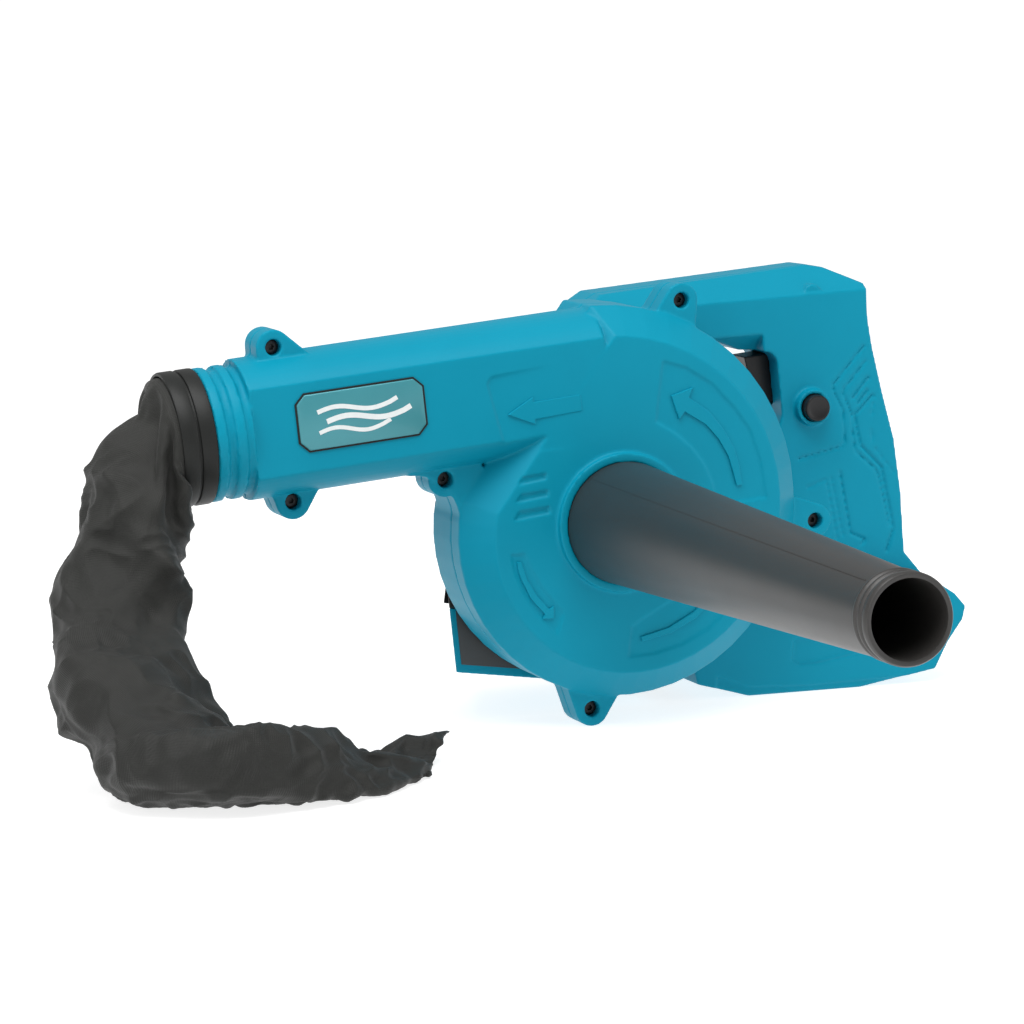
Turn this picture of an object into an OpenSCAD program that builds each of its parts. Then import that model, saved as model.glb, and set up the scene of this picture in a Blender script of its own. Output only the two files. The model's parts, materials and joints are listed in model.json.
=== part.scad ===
// Cordless leaf blower set up for collecting: nozzle on the fan inlet, dust bag on the outlet.
// Every piece is drawn in the fan frame: origin on the fan axis at the inlet ring's front face,
// +X from the outlet duct towards the grip, +Z up from the duct's side, -Y out of the nozzle.
// stand() then sets the tool down on its front lug and its foot, origin under the foot's flat.

/* [Fan housing] */
// Radius of the scroll where it starts at the tongue
scroll_start_r = 74; // [66:1:80]
// Growth of the scroll's radius over its whole turn
scroll_growth = 25; // [18:1:30]
// Depth from the inlet ring's front to the cover's flat face
face_y = 3; // [2:0.5:4]
// Depth at which the cover's slope meets the rim
rim_y = 17; // [14:1:20]
// Depth of the split between the two fan housing shells
split_y = 28; // [26:1:32]
// Depth of the fan housing's back face
back_y = 54; // [50:1:58]
// Width of the slope between the rim and the flat face
slope_w = 13; // [8:1:16]
// Wall of the fan housing shells
wall = 2.5; // [1.8:0.1:3.2]
// Outer radius of the inlet ring
ring_r = 32; // [31:0.5:36]

/* [Outlet duct] */
// Outer radius of the duct
duct_r = 32; // [30:0.5:33]
// Height of the duct's axis above the fan axis
duct_z = 65.5; // [62:0.5:68]
// Distance from the fan axis to the end of the duct's body
duct_end = 169; // [150:1:185]
// Radius of the two ribs on the outlet
rib_r = 30.2; // [29.4:0.2:32]
// Outer radius of the spout that carries the ribs
spout_r = 28.4; // [26:0.2:29]
// Width of one rib
rib_w = 4.6; // [3:0.2:6]
// Distance from one rib to the next
rib_pitch = 8.8; // [7:0.2:11]
// Length of the thin spout that the bag's collar slides over
spout_len = 14; // [8:1:18]

/* [Nozzle] */
// Radius of the bore that the nozzle's spigot slides into
socket_r = 28; // [24:0.5:30]
// Depth of the nozzle's spigot inside the socket
socket_depth = 14; // [8:1:18]
// Length of the nozzle in front of the inlet ring
nozzle_len = 304; // [200:1:340]
// Radius of the bore at the nozzle's mouth
mouth_r = 16.2; // [14:0.1:20]
// Wall of the nozzle
nozzle_wall = 1.8; // [1.4:0.1:2.4]
// Length of the straight bore at the nozzle's mouth
mouth_len = 22; // [14:1:30]

/* [Handle] */
// Depth of the grip's front face
grip_y = 72; // [68:1:76]
// Thickness of the grip from front to back
grip_t = 40; // [34:1:44]
// Depth of the foot's front face
foot_y0 = 59; // [57:1:61]
// Depth of the foot from front to back
foot_t = 74; // [72:1:80]
// Wall of the handle shells
grip_wall = 2.5; // [2:0.1:3.2]
// Outer radius of the motor housing
motor_house_r = 31; // [29:0.5:33]
// Depth of the motor housing's back face
motor_house_y = 132; // [128:1:138]

/* [Controls] */
// Travel of the trigger
trigger_travel = 6; // [3:0.5:7]
// Travel of the lock button
lock_travel = 3; // [2:0.5:4]
// Radius of the lock button
lock_r = 6.4; // [5:0.1:7.5]
// Travel of the battery's latch
latch_travel = 3; // [2:0.5:4]

/* [Battery] */
// Length of the battery pack
pack_len = 112; // [100:1:116]
// Height of the battery pack
pack_h = 39; // [36:1:42]
// Width of the battery pack
pack_w = 70; // [68:1:72]
// Slope of the battery pack and its dock against the duct
pack_tilt = 13.5; // [10:0.5:15]
// Angle by which the pack's latch end slopes back across its width
pack_slant = 20; // [15:1:22]
// Radius of one battery cell
cell_r = 9.1; // [9:0.1:9.3]

/* [Motor] */
// Outer radius of the motor's can
can_r = 21.5; // [19:0.5:23]
// Length of the motor's can
can_len = 56; // [50:1:60]
// Radius of the motor shaft
shaft_r = 2.5; // [2:0.5:3]
// Outer radius of the fan wheel
wheel_r = 58; // [50:1:62]

/* [Fits] */
// Clearance all round between the nozzle's spigot and its socket
nozzle_gap = 0.3; // [0.2:0.05:0.4]
// Clearance all round a button, trigger or latch in its opening
slip_gap = 0.4; // [0.3:0.05:0.6]
// Radial clearance of a shaft in its bearing
run_gap = 0.05; // [0.02:0.01:0.1]
// Clearance round the battery pack in its dock
dock_gap = 0.5; // [0.4:0.1:0.8]
// Clearance between the fan wheel and the housing
wheel_gap = 3; // [2:0.5:4]

/* [Hidden] */
$fn = 64;

// Attitude: the duct points down to its outlet by this angle when the tool stands
tilt = 5.5;
// Screw lugs round the fan housing: [x, z, direction inwards, half width of the web, reach]
lug_r = 8;
LUGS = [[-151, 101, 292, 15, 16], [-150, 31, 80, 14, 12], [-78, 30, 45, 15, 14],
    [45, 95, 245, 12, 16], [101, -17, 172, 13, 16], [-19, -87, 78, 15, 14]];
lug_y0 = 18;
lug_y1 = 38;
screw_r = 1.75;
head_r = 3.4;
counterbore_r = 3.7;
counterbore_y = 25;
// The front lug's height sets how high the fan axis stands
axis_h = lug_r - (LUGS[5].y * cos(tilt) + LUGS[5].x * sin(tilt));
function ground(x) = -(axis_h + x * sin(tilt)) / cos(tilt);

// Grip and foot
grip_y1 = grip_y + grip_t;
grip_mid = grip_y + grip_t / 2;
foot_y1 = foot_y0 + foot_t;
flat_x0 = 76;
flat_x1 = 134;
stand_x = 115;
stand_y = foot_y0 + foot_t / 2;

// Fan wheel, motor and shaft depths
wheel_y0 = face_y + socket_depth + wheel_gap;
wheel_y1 = back_y - wall - wheel_gap;
motor_y0 = back_y;
motor_y1 = motor_y0 + can_len;
shaft_y0 = wheel_y0 - 6;
bearing_r = 8;
bearing_t = 5;
can_wall = 2;
motor_hole_r = 9;
motor_screw_x = 13;

// Trigger, switch and lock button places
trigger_x0 = 97;
trigger_x1 = 117;
trigger_z0 = 31;
trigger_z1 = 55;
trigger_w = 17;
switch_x0 = 137;
switch_x1 = 158;
switch_z0 = 30;
switch_z1 = 58;
switch_w = 18;
plunger_r = 3;
plunger_z = 43;
lock_x = 127;
lock_z = 28;
lock_y0 = grip_y - 9;
lock_y1 = grip_y + 8;
lock_spring_len = 6;
boss_y = grip_y - 5;

// Control board and terminal block places
board_x0 = 118;
board_x1 = 154;
board_z = -86;
board_t = 1.6;
block_len = 18;
block_w = 32;
block_z0 = 0.9;
block_z1 = 8.5;
block_x0 = pack_len - 24;
lead_z = -48.6;

// Battery pack place: its top left corner
pack_x = -69;
pack_z = -28;
pack_y0 = foot_y0 + (foot_t - pack_w) / 2;
pack_y1 = pack_y0 + pack_w;
pack_mid = pack_y0 + pack_w / 2;
cover_h = 9;
dock_h = 11;
dock_x = 30;

module stand() {
    translate([-stand_x, -stand_y, axis_h]) rotate([0, -tilt, 0]) children();
}

module slab(y0, y1) {
    translate([0, y1, 0]) rotate([90, 0, 0]) linear_extrude(y1 - y0) children();
}

module along_y(x, z, y0) {
    translate([x, y0, z]) rotate([-90, 0, 0]) children();
}

module along_x(y, z, x0) {
    translate([x0, y, z]) rotate([0, 90, 0]) children();
}

module in_pack() {
    translate([pack_x, 0, pack_z]) rotate([0, pack_tilt, 0]) children();
}

// Scroll ------------------------------------------------------------------------------------

tongue_a = 165;
turn_a = 285;
function scroll_r(a) = scroll_start_r + scroll_growth * (a - tongue_a) / turn_a;
function scroll_point(a) = [scroll_r(a) * cos(a), scroll_r(a) * sin(a)];

module scroll_2d() {
    polygon([for (a = [tongue_a:7.5:tongue_a + turn_a]) scroll_point(a)]);
}

// The scroll as a solid, its walls moved in by inset; the front edge slopes to the flat face
module scroll_mass(inset) {
    edge = 0.1;
    slope_y = rim_y + inset / 2;
    hull() {
        slab(face_y + inset, face_y + inset + edge) offset(-slope_w - inset / 2) scroll_2d();
        slab(slope_y, back_y - inset) offset(-inset) scroll_2d();
    }
}

module duct_round(r, x0, x1) {
    along_x(split_y, duct_z, x0) cylinder(r = r, h = x1 - x0);
}

module half_front() {
    translate([-250, -10, -150]) cube([400, split_y + 10, 300]);
}

module half_back() {
    translate([-250, split_y, -150]) cube([400, 60, 300]);
}

module lug_2d(lug) {
    translate([lug.x, lug.y]) hull() {
        circle(r = lug_r);
        rotate(lug[2]) translate([lug[4] - 1, -lug[3]]) square([1, 2 * lug[3]]);
    }
}

module lugs(y0, y1) {
    for (lug = LUGS) slab(y0, y1) lug_2d(lug);
}

module at_lugs(y0) {
    for (lug = LUGS) along_y(lug.x, lug.y, y0) children();
}

first_rib = 4;
rib_x0 = duct_end + first_rib + rib_w + rib_pitch;
spout_x0 = rib_x0 + spout_len;

module spout() {
    for (k = [0, 1]) let (x = duct_end + first_rib + k * rib_pitch)
        duct_round(rib_r, -x - rib_w, -x);
    duct_round(spout_r, -spout_x0, -duct_end + 0.2);
}

module duct(inset, x0, x1) {
    intersection() {
        duct_round(duct_r - inset, x0, x1);
        slab(face_y + inset + 0.1, back_y + 10) square([2 * duct_end + 20, 300], center = true);
    }
}

module air_space() {
    scroll_mass(wall);
    duct(wall, -duct_end + wall, -20);
    duct(duct_r - spout_r + wall, -duct_end - 0.5, -duct_end + wall + 1);
    duct_round(spout_r - wall, -spout_x0 - 1, -duct_end);
}

module housing() {
    difference() {
        union() {
            scroll_mass(0);
            duct(0, -duct_end, 0);
            throat();
            lugs(lug_y0, lug_y1);
            spout();
        }
        air_space();
        at_lugs(lug_y0 - 1) cylinder(r = counterbore_r, h = counterbore_y - lug_y0 + 1);
        at_lugs(lug_y0) cylinder(r = screw_r + run_gap, h = lug_y1 - lug_y0 - 2);
    }
}

// The curved web between the duct's underside and the scroll, an arc that touches both
module throat() {
    web_r = 22;
    under_z = duct_z - duct_r + 0.6;
    reach = scroll_start_r + web_r;
    arc_z = under_z - web_r;
    arc_x = -sqrt(reach * reach - arc_z * arc_z);
    slab(rim_y, back_y - 4) difference() {
        translate([arc_x, arc_z * (1 - web_r / reach)])
            square([-arc_x - scroll_start_r + 14, under_z + 4 - arc_z * (1 - web_r / reach)]);
        translate([arc_x, arc_z]) circle(r = web_r);
    }
}

module front_shell() {
    color([0.05, 0.56, 0.66]) stand() difference() {
        union() {
            intersection() {
                housing();
                half_front();
            }
            along_y(0, 0, 0) cylinder(r = ring_r, h = face_y + 1);
            along_y(0, 0, face_y) cylinder(r = socket_r + wall, h = socket_depth);
        }
        along_y(0, 0, -1) cylinder(r = socket_r, h = face_y + socket_depth + 2);
    }
}

module rear_shell() {
    color([0.05, 0.56, 0.66]) stand() difference() {
        intersection() {
            housing();
            half_back();
        }
        along_y(0, 0, back_y - wall - 1) cylinder(r = motor_hole_r, h = wall + 2);
        for (s = [-1, 1]) along_y(motor_screw_x * s, 0, back_y - wall - 1)
            cylinder(r = screw_r + run_gap, h = wall + 2);
    }
}

module badge_plate() {
    badge_w = 59;
    badge_h = 25;
    corner = 4;
    color([0.28, 0.58, 0.62]) stand() translate([-148, 0, 55]) slab(face_y - 1, face_y)
        polygon([[corner, 0], [badge_w - corner, 0], [badge_w, corner], [badge_w, badge_h - corner],
            [badge_w - corner, badge_h], [corner, badge_h], [0, badge_h - corner], [0, corner]]);
}

// Nozzle ------------------------------------------------------------------------------------

module nozzle() {
    base_r = socket_r + 0.2;
    tip_r = mouth_r + nozzle_wall;
    bead = 0.7;
    spigot_r = socket_r - nozzle_gap;
    color([0.16, 0.16, 0.16]) stand() rotate([90, 0, 0]) rotate_extrude() polygon([
        [spigot_r - nozzle_wall, -socket_depth + 1], [spigot_r, -socket_depth + 1], [spigot_r, 0.2],
        [base_r, 0.2], [tip_r, nozzle_len - 13], [tip_r + bead, nozzle_len - 13],
        [tip_r + bead, nozzle_len - 10.5], [tip_r - 0.3, nozzle_len - 10.5],
        [tip_r - 0.3, nozzle_len - 9], [tip_r + bead, nozzle_len - 9],
        [tip_r + bead, nozzle_len - 6], [tip_r - 0.3, nozzle_len - 6],
        [tip_r - 0.3, nozzle_len - 4.5], [tip_r + bead, nozzle_len - 4.5],
        [tip_r + bead, nozzle_len], [mouth_r, nozzle_len], [mouth_r, nozzle_len - mouth_len],
        [spigot_r - nozzle_wall, 0]]);
}

// Dust bag ----------------------------------------------------------------------------------

collar_x0 = rib_x0 + slip_gap;
collar_len = 16;
collar_r = 30.6;

module bag_collar() {
    color([0.12, 0.12, 0.12]) stand() difference() {
        duct_round(collar_r, -collar_x0 - collar_len, -collar_x0);
        duct_round(spout_r + slip_gap, -collar_x0 - collar_len - 1, -collar_x0 + 1);
    }
}

// Route of the bag from the collar to its flat end, in the standing frame with the origin on
// the floor under the fan axis: [x, y, z, half width, half height]
BAG = [[-222, 27, 137, 29, 27], [-234, 20, 122, 27, 24], [-239, 8, 97, 28, 24],
    [-246, -14, 67, 32, 27], [-252, -42, 48, 34, 31], [-248, -74, 34, 34, 32],
    [-235, -97, 26, 34, 29], [-214, -105, 22, 33, 26], [-189, -97, 20, 31, 24],
    [-161, -75, 16, 29, 19], [-128, -38, 11, 24, 12], [-97, 4, 4, 18, 4]];
BAG_SIDES = 14;

bag_x0 = collar_x0 + collar_len;
BAG_START = [-bag_x0 * cos(tilt) - duct_z * sin(tilt), split_y,
    axis_h - bag_x0 * sin(tilt) + duct_z * cos(tilt), collar_r - 1, collar_r - 1];
BAG_ROUTE = concat([BAG_START], BAG);
function bag_dir(i) = let (a = BAG_ROUTE[max(i - 1, 0)],
    b = BAG_ROUTE[min(i + 1, len(BAG_ROUTE) - 1)],
    d = i == 0 ? [-cos(tilt), 0, -sin(tilt)] : [b.x - a.x, b.y - a.y, b.z - a.z]) d / norm(d);
function bag_side(i) = i == 0 ? [0, 1, 0]
    : let (s = cross([0.3, -0.3, -1], bag_dir(i))) s / norm(s);
function bag_ring(i) = let (p = BAG_ROUTE[i], s = bag_side(i), n = cross(bag_dir(i), s))
    [for (k = [0:BAG_SIDES - 1]) let (a = 360 * k / BAG_SIDES, q = [p.x, p.y, p.z]
        + s * p[3] * cos(a) + n * p[4] * sin(a)) [q.x, q.y, max(q.z, 0)]];

module dust_bag() {
    rings = len(BAG_ROUTE);
    last = rings * BAG_SIDES;
    color([0.13, 0.13, 0.12]) translate([-stand_x, -stand_y, 0]) polyhedron(
        points = concat([for (i = [0:rings - 1]) each bag_ring(i)]),
        faces = concat(
            [[for (k = [0:BAG_SIDES - 1]) k]],
            [for (i = [0:rings - 2]) for (k = [0:BAG_SIDES - 1]) let (n = (k + 1) % BAG_SIDES)
                [i * BAG_SIDES + k, (i + 1) * BAG_SIDES + k, (i + 1) * BAG_SIDES + n]],
            [for (i = [0:rings - 2]) for (k = [0:BAG_SIDES - 1]) let (n = (k + 1) % BAG_SIDES)
                [i * BAG_SIDES + k, (i + 1) * BAG_SIDES + n, i * BAG_SIDES + n]],
            [[for (k = [BAG_SIDES - 1:-1:0]) last - BAG_SIDES + k]]));
}

// Fan wheel and motor -----------------------------------------------------------------------

module fan_wheel() {
    blades = 9;
    plate_t = 2.2;
    hub_r = 9;
    eye_r = 20;
    blade_t = 1.8;
    color([0.2, 0.2, 0.21]) stand() difference() {
        union() {
            along_y(0, 0, wheel_y1 - plate_t) cylinder(r = wheel_r, h = plate_t);
            along_y(0, 0, wheel_y0 + 4) cylinder(r = hub_r, h = wheel_y1 - wheel_y0 - 4);
            for (k = [0:blades - 1]) slab(wheel_y0, wheel_y1 - plate_t / 2)
                rotate(360 * k / blades) translate([eye_r, 0]) rotate(-32)
                    square([wheel_r - eye_r - 1, blade_t]);
        }
        along_y(0, 0, wheel_y0) cylinder(r = shaft_r, h = wheel_y1);
    }
}

module wheel_washer() {
    color("silver") stand() along_y(0, 0, wheel_y0 + 3) difference() {
        cylinder(r = 6, h = 1);
        translate([0, 0, -1]) cylinder(r = shaft_r, h = 3);
    }
}

module wheel_nut() {
    nut_r = 4.6;
    nut_h = 4;
    color("silver") stand() along_y(0, 0, wheel_y0 + 3 - nut_h) difference() {
        cylinder(r = nut_r, h = nut_h, $fn = 6);
        translate([0, 0, -1]) cylinder(r = shaft_r, h = nut_h + 2);
    }
}

module motor_shaft() {
    color("silver") stand() along_y(0, 0, shaft_y0)
        cylinder(r = shaft_r, h = motor_y1 + 6 - shaft_y0);
}

module armature() {
    lamination_r = 14.5;
    color([0.45, 0.38, 0.3]) stand() along_y(0, 0, motor_y0 + 10) difference() {
        cylinder(r = lamination_r, h = 28);
        translate([0, 0, -1]) cylinder(r = shaft_r, h = 30);
    }
}

commutator_r = 6;
module commutator() {
    color([0.72, 0.45, 0.2]) stand() along_y(0, 0, motor_y0 + 40) difference() {
        cylinder(r = commutator_r, h = 11);
        translate([0, 0, -1]) cylinder(r = shaft_r, h = 13);
    }
}

module bearing(y0) {
    color("silver") stand() along_y(0, 0, y0) difference() {
        cylinder(r = bearing_r, h = bearing_t);
        translate([0, 0, -1]) cylinder(r = shaft_r + run_gap, h = bearing_t + 2);
    }
}

module front_bearing() {
    bearing(motor_y0 - 2);
}

module rear_bearing() {
    bearing(motor_y1 - 1);
}

module motor_can() {
    color([0.55, 0.56, 0.58]) stand() difference() {
        along_y(0, 0, motor_y0) cylinder(r = can_r, h = can_len);
        along_y(0, 0, motor_y0 + can_wall + 2) cylinder(r = can_r - can_wall, h = can_len);
        along_y(0, 0, motor_y0 - 1) cylinder(r = bearing_r, h = can_wall + 4);
        for (s = [-1, 1]) along_y(motor_screw_x * s, 0, motor_y0 - 1)
            cylinder(r = screw_r + run_gap, h = can_wall + 4);
    }
}

module motor_magnets() {
    inner = 15.3;
    outer = can_r - can_wall;
    color([0.25, 0.24, 0.24]) stand() slab(motor_y0 + 8, motor_y0 + 40) difference() {
        circle(r = outer);
        circle(r = inner);
        for (s = [-1, 1]) translate([0, s * outer]) square([16, 20], center = true);
    }
}

module motor_end_cap() {
    cap_t = 7;
    color([0.1, 0.1, 0.1]) stand() difference() {
        along_y(0, 0, motor_y1) cylinder(r = can_r, h = cap_t);
        along_y(0, 0, motor_y1 - 1) cylinder(r = bearing_r, h = bearing_t);
        along_y(0, 0, motor_y1) cylinder(r = shaft_r + 1.5, h = cap_t + 1);
    }
}

module motor_brushes() {
    brush_len = can_r - can_wall - commutator_r - 0.6;
    color([0.2, 0.2, 0.2]) stand() for (s = [-1, 1])
        translate([0, motor_y0 + 45.5, s * (commutator_r + 0.3 + brush_len / 2)])
            cube([5, 6, brush_len], center = true);
}

module motor_screws() {
    color([0.2, 0.2, 0.2]) stand() for (s = [-1, 1]) {
        along_y(motor_screw_x * s, 0, back_y - wall - 1.6) cylinder(r = 3, h = 1.6);
        along_y(motor_screw_x * s, 0, back_y - wall) cylinder(r = screw_r, h = wall + 7);
    }
}

// Grip --------------------------------------------------------------------------------------

module grip_outline() {
    polygon([[16, 25], [16, 82], [20, 90], [30, 95], [139, 94], [147, 92], [162, 83], [161, 66],
        [162, 52], [165, 30], [169, 6], [170, -20], [169, -50], [180, -66], [150, -96],
        [50, -80], [30, -45]]);
    circle(r = motor_house_r + 2);
}

module finger_opening() {
    offset(7) offset(-7) polygon([[42, 26], [44, 67], [84, 65], [97, 59], [112, 57], [112, 26],
        [106, 12], [103, -20], [98, -44], [60, -44], [44, -30]]);
}

module foot_outline() {
    polygon([[flat_x0 - 30, -62], [flat_x0 - 26, -94], [flat_x0 - 10, ground(flat_x0) + 4],
        [flat_x0, ground(flat_x0)],
        [flat_x1, ground(flat_x1)], [174, -107], [182, -95], [191, -85], [193, -79], [188, -72],
        [178, -64], [150, -54], [90, -50]]);
}

module dock_2d() {
    translate([pack_x, pack_z]) rotate(-pack_tilt)
        translate([dock_x, dock_gap]) square([pack_len - dock_x + 8, dock_h]);
}

module grip_mass(inset) {
    difference() {
        slab(grip_y + inset, grip_y1 - inset) offset(-inset) difference() {
            grip_outline();
            finger_opening();
        }
        translate([10, 0, 88.5]) rotate([0, 3, 0]) slope_bar(inset, 180, [11, 7], 60);
        translate([46, 0, 69.4]) rotate([0, 3, 0]) mirror([0, 0, 1])
            slope_bar(inset, 60, [12, 9], 20);
    }
    slab(foot_y0 + inset, foot_y1 - inset) offset(-inset) foot_outline();
}

// A bar that slopes the grip's front edge away along x, its face through the front face's edge
module slope_bar(inset, length, run, reach) {
    u = run / norm(run);
    n = [-u.y, u.x];
    a = [grip_y, 0] - inset * n;
    translate([-inset, 0, 0]) rotate([90, 0, 90]) linear_extrude(length + 2 * inset)
        polygon([a - 10 * u, a + reach * u, a - 10 * u + reach * n]);
}

module pack_hole() {
    in_pack() translate([-1, pack_y0 - dock_gap, -pack_h - 20])
        cube([pack_len + 1 + dock_gap, pack_w + 2 * dock_gap, pack_h + 20 + dock_gap]);
}

module dock() {
    slab(foot_y0, foot_y1) dock_2d();
}

module grip_body() {
    difference() {
        union() {
            grip_walls();
            grip_bosses();
            board_posts();
            switch_shelves();
            along_y(lock_x, lock_z, boss_y)
                cylinder(r = lock_r + 2.4, h = lock_y1 + lock_spring_len + 2 - boss_y);
        }
        pack_hole();
        terminal_pocket();
        along_y(lock_x, lock_z, boss_y - 1)
            cylinder(r = lock_r + slip_gap, h = lock_y1 + lock_spring_len - boss_y + 1);
        translate([trigger_x0, grip_mid - trigger_w / 2 - slip_gap, trigger_z0 - slip_gap])
            cube([trigger_x1 - trigger_x0 + trigger_travel + slip_gap, trigger_w + 2 * slip_gap,
                trigger_z1 - trigger_z0 + 2 * slip_gap]);
        grip_screw_holes();
        back_vents();
    }
}

module grip_walls() {
    difference() {
        union() {
            grip_mass(0);
            along_y(0, 0, back_y) cylinder(r = motor_house_r, h = motor_house_y - back_y);
            dock();
        }
        difference() {
            grip_mass(grip_wall);
            in_pack() translate([-20, 0, -3]) cube([pack_len + 24, 200, dock_h + 6]);
        }
        along_y(0, 0, back_y - 1)
            cylinder(r = motor_house_r - grip_wall, h = motor_house_y - back_y - grip_wall + 1);
    }
}

// Pocket in the dock for the terminal block, with a channel for its leads into the foot
module terminal_pocket() {
    in_pack() translate([block_x0 - slip_gap, pack_mid - block_w / 2 - slip_gap, -1])
        cube([block_len + 2 * slip_gap, block_w + 2 * slip_gap, block_z1 + slip_gap + 1]);
    translate([34, pack_mid - 6, lead_z - 2.5]) cube([20, 12, 5]);
}

GRIP_SCREWS = [[31, 82], [134, 82], [155, 5], [84, -95], [160, -88]];
grip_boss_r = 4.5;
function boss_y0(p) = p.y < -60 ? foot_y0 : grip_y;
function boss_y1(p) = p.y < -60 ? foot_y1 : grip_y1;

module grip_screw_holes() {
    for (p = GRIP_SCREWS) {
        along_y(p.x, p.y, grip_mid - 10) cylinder(r = screw_r + run_gap, h = 60);
        along_y(p.x, p.y, grip_y1 - 5) cylinder(r = counterbore_r, h = 60);
    }
}

module grip_bosses() {
    for (p = GRIP_SCREWS) along_y(p.x, p.y, boss_y0(p) + 1)
        cylinder(r = grip_boss_r, h = boss_y1(p) - boss_y0(p) - 2);
}

// Two walls that stand on the foot's floor and carry the control board
module board_posts() {
    for (x = [board_x0 + 3, board_x1 - 6]) translate([x, grip_mid - 14, -107])
        cube([3, 28, board_z + 107]);
}

// Shelves on both shells that hold the switch above and below, its middle left free for leads
module switch_shelves() {
    for (z = [switch_z0 - 2, switch_z1]) for (y = [grip_y + 1, grip_mid + 7])
        translate([switch_x0 + 2, y, z]) cube([switch_x1 - switch_x0 - 4, grip_t / 2 - 8, 2]);
}

module back_vents() {
    slots = 7;
    for (k = [0:slots - 1]) let (x = -18 + 6 * k)
        translate([x - 1.2, motor_house_y - 4, -14]) cube([2.4, 6, 28]);
}

module grip_front_shell() {
    color([0.05, 0.56, 0.66]) stand() intersection() {
        grip_body();
        translate([-200, 0, -200]) cube([500, grip_mid, 400]);
    }
}

module grip_back_shell() {
    color([0.05, 0.56, 0.66]) stand() intersection() {
        grip_body();
        translate([-200, grip_mid, -200]) cube([500, 100, 400]);
    }
}

module switch_body() {
    color([0.15, 0.15, 0.15]) stand() difference() {
        translate([switch_x0, grip_mid - switch_w / 2, switch_z0])
            cube([switch_x1 - switch_x0, switch_w, switch_z1 - switch_z0]);
        along_x(grip_mid, plunger_z, switch_x0 - 1) cylinder(r = plunger_r + run_gap, h = 16);
    }
}

module trigger() {
    nose_r = 60;
    color([0.09, 0.09, 0.09]) stand() {
        slab(grip_mid - trigger_w / 2, grip_mid + trigger_w / 2) intersection() {
            translate([trigger_x0, trigger_z0])
                square([trigger_x1 - trigger_x0, trigger_z1 - trigger_z0]);
            difference() {
                translate([trigger_x0, trigger_z0]) square([30, 40]);
                translate([trigger_x0 - nose_r + 4, plunger_z]) circle(r = nose_r);
            }
        }
        along_x(grip_mid, plunger_z, trigger_x1 - 1)
            cylinder(r = plunger_r, h = switch_x0 - trigger_x1 + 1 + 6);
    }
}

module coil(r, wire_r, turns, length) {
    for (k = [0:turns - 1]) translate([0, 0, wire_r + k * (length - 2 * wire_r) / (turns - 1)])
        rotate_extrude() translate([r, 0]) circle(r = wire_r, $fn = 16);
}

module trigger_spring() {
    color("silver") stand() along_x(grip_mid, plunger_z, trigger_x1)
        coil(plunger_r + 1.2, 0.45, 5, switch_x0 - trigger_x1);
}

module lock_button() {
    color([0.06, 0.06, 0.06]) stand() {
        along_y(lock_x, lock_z, lock_y0) cylinder(r1 = lock_r - 1, r2 = lock_r, h = 1);
        along_y(lock_x, lock_z, lock_y0 + 1) cylinder(r = lock_r, h = lock_y1 - lock_y0 - 1);
    }
}

module lock_spring() {
    color("silver") stand() along_y(lock_x, lock_z, lock_y1) coil(3, 0.4, 4, lock_spring_len);
}

module control_board() {
    color([0.1, 0.4, 0.2]) stand() translate([board_x0, grip_mid - 15, board_z]) {
        cube([board_x1 - board_x0, 30, board_t]);
        for (k = [0:2]) translate([3 + 9 * k, 6, board_t]) cube([6, 10, 5]);
    }
}

module terminal_block() {
    blade_t = 1.2;
    blade_x0 = block_x0 + 2;
    color([0.12, 0.12, 0.12]) stand() in_pack() {
        translate([block_x0, pack_mid - block_w / 2, block_z0])
            cube([block_len, block_w, block_z1 - block_z0]);
        for (s = [-1, 1]) translate([blade_x0, pack_mid + s * contact_y - blade_t / 2, -5])
            cube([14, blade_t, block_z0 + 6]);
    }
}

lead_r = 1.2;
bead_r = 1.8;
trim = 1.25;
contact_y = 10;

// Straight runs of a lead along each axis, and the bead that joins two runs at a corner
module lead_up(x, y, z0, z1) {
    translate([x, y, z0]) cylinder(r = lead_r, h = z1 - z0);
}

module lead_along(x0, x1, y, z) {
    along_x(y, z, x0) cylinder(r = lead_r, h = x1 - x0);
}

module bead(x, y, z) {
    translate([x, y, z]) sphere(r = bead_r, $fn = 24);
}

// From the terminal block through the dock and down the foot to the board, then up to the switch
module battery_leads() {
    down_x = 60;
    run_z = board_z + board_t + lead_r + 0.1;
    up_x = 147.5;
    color([0.7, 0.1, 0.1]) stand() for (k = [0, 1]) {
        y = pack_mid + 4 * k - 1;
        lead_along(37, down_x - trim, y, lead_z);
        bead(down_x, y, lead_z);
        lead_up(down_x, y, run_z + trim, lead_z - trim);
        bead(down_x, y, run_z);
        lead_along(down_x + trim, board_x0 + 8, y, run_z);
        lead_up(up_x, grip_mid + 8 * k - 4, board_z + board_t + 0.1, switch_z0 - 0.1);
    }
}

// From the top of the switch through the top bar, then down beside the motor to its end cap
module motor_leads() {
    down_x = 25;
    up_x = switch_x1 - 10;
    run_z = 75;
    end_y = motor_y1 + 3;
    color([0.1, 0.1, 0.1]) stand() for (k = [0, 1]) {
        y = grip_mid + 6 * k - 3;
        z = 8 - 16 * k;
        lead_up(up_x, y, switch_z1 + 0.1, run_z - trim);
        bead(up_x, y, run_z);
        lead_along(down_x + trim, up_x - trim, y, run_z);
        bead(down_x, y, run_z);
        lead_up(down_x, y, z + trim, run_z - trim);
        bead(down_x, y, z);
        along_y(down_x, z, y + trim) cylinder(r = lead_r, h = end_y - y - 2 * trim);
        bead(down_x, end_y, z);
        lead_along(can_r - 0.9, down_x - trim, end_y, z);
    }
}

// Battery -----------------------------------------------------------------------------------

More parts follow.
